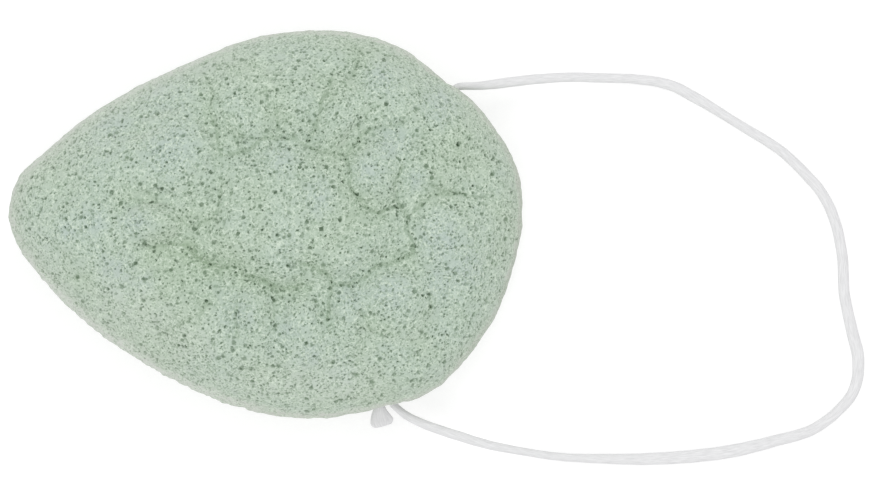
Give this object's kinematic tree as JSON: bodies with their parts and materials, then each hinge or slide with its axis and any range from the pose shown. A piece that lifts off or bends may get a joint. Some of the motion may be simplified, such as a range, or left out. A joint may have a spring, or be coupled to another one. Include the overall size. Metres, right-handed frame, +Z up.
{
  "type": "konjac sponge",
  "caption": "Teardrop porous facial sponge with a puckered crown and a flat base, and a knotted hanging cord threaded through its round end.",
  "frame": {"origin": "middle of the foam's flat base, below the middle of its length and width", "axes": "+X from the tip to the round end and the cord's loop, +Z up through the puckered crown"},
  "size_m": [0.15, 0.076, 0.025],
  "materials": {
    "foam": "matte",
    "cord": "matte"
  },
  "bodies": {
    "sponge": {"sponge_body": "foam"},
    "cord": {"cord_channel_run": "cord", "cord_knot": "cord", "cord_tail": "cord", "cord_loop": "cord"}
  },
  "joints": [
    {"name": "loop_swing", "type": "hinge", "parent": "sponge", "child": "cord", "pos_m": [0.02187, -0.03196, 0.0065], "axis": [-0.1938, -0.9811, 0], "range_deg": [0, 110]}
  ]
}
